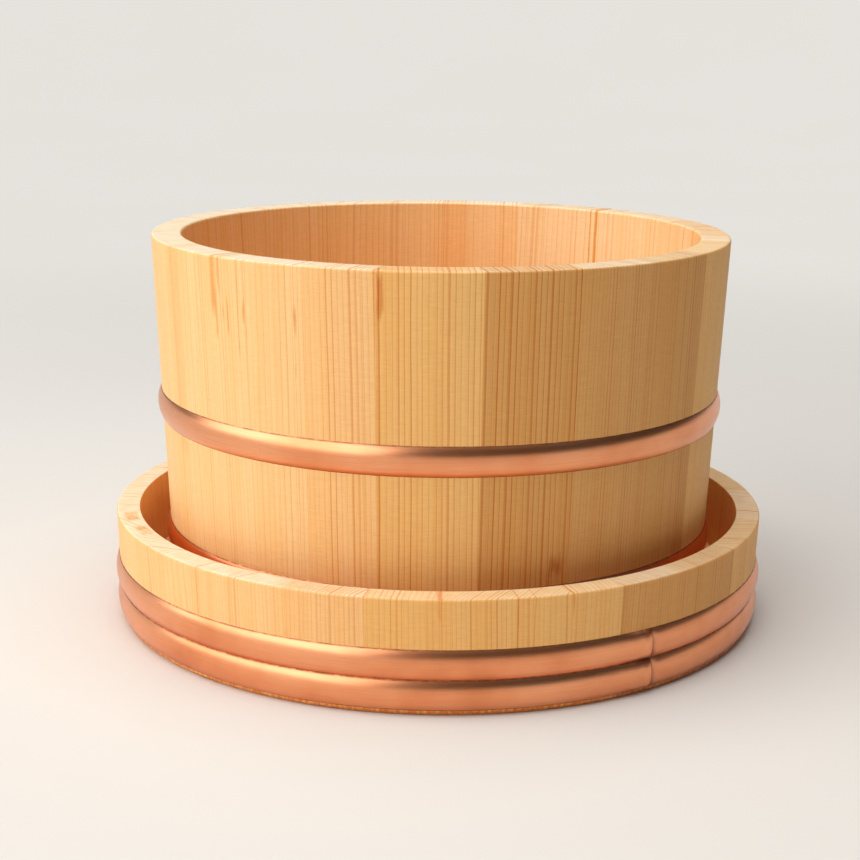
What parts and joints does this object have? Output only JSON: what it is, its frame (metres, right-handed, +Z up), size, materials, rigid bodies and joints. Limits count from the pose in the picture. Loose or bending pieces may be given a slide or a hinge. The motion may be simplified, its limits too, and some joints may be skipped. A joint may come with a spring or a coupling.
{
  "type": "wooden rice container",
  "caption": "Stave-built wooden rice tub with copper hoops, standing in its own upturned overlapping lid.",
  "frame": {"origin": "on the axis of both rings, on the surface that the upturned lid stands on", "axes": "+Z up along the axis of the tub and the lid; -Y is the front, +X is to the right of it"},
  "size_m": [0.2414, 0.2414, 0.14],
  "materials": {
    "tub_cypress": "planed, unfinished",
    "lid_cypress": "planed, unfinished",
    "copper": "bright drawn copper",
    "bamboo": "split bamboo"
  },
  "bodies": {
    "root": {"lid_hoop_lower": "copper", "lid_hoop_upper": "copper", "lid_panel_board_1": "lid_cypress", "lid_panel_board_2": "lid_cypress", "lid_panel_board_3": "lid_cypress", "lid_panel_pins": "bamboo", "lid_stave_01": "lid_cypress", "lid_stave_02": "lid_cypress", "lid_stave_03": "lid_cypress", "lid_stave_04": "lid_cypress", "lid_stave_05": "lid_cypress", "lid_stave_06": "lid_cypress", "lid_stave_07": "lid_cypress", "lid_stave_08": "lid_cypress", "lid_stave_09": "lid_cypress", "lid_stave_10": "lid_cypress", "lid_stave_11": "lid_cypress", "lid_stave_12": "lid_cypress", "lid_stave_13": "lid_cypress", "lid_stave_14": "lid_cypress", "lid_stave_15": "lid_cypress", "lid_stave_16": "lid_cypress", "lid_stave_17": "lid_cypress", "lid_stave_18": "lid_cypress", "lid_stave_19": "lid_cypress", "lid_stave_20": "lid_cypress", "lid_stave_pins": "bamboo", "tub_base_board_1": "tub_cypress", "tub_base_board_2": "tub_cypress", "tub_base_board_3": "tub_cypress", "tub_base_hoop_lower": "copper", "tub_base_hoop_upper": "copper", "tub_base_pins": "bamboo", "tub_middle_hoop": "copper", "tub_stave_01": "tub_cypress", "tub_stave_02": "tub_cypress", "tub_stave_03": "tub_cypress", "tub_stave_04": "tub_cypress", "tub_stave_05": "tub_cypress", "tub_stave_06": "tub_cypress", "tub_stave_07": "tub_cypress", "tub_stave_08": "tub_cypress", "tub_stave_09": "tub_cypress", "tub_stave_10": "tub_cypress", "tub_stave_11": "tub_cypress", "tub_stave_12": "tub_cypress", "tub_stave_13": "tub_cypress", "tub_stave_14": "tub_cypress", "tub_stave_15": "tub_cypress", "tub_stave_16": "tub_cypress", "tub_stave_17": "tub_cypress", "tub_stave_18": "tub_cypress", "tub_stave_19": "tub_cypress", "tub_stave_pins": "bamboo"}
  },
  "joints": []
}
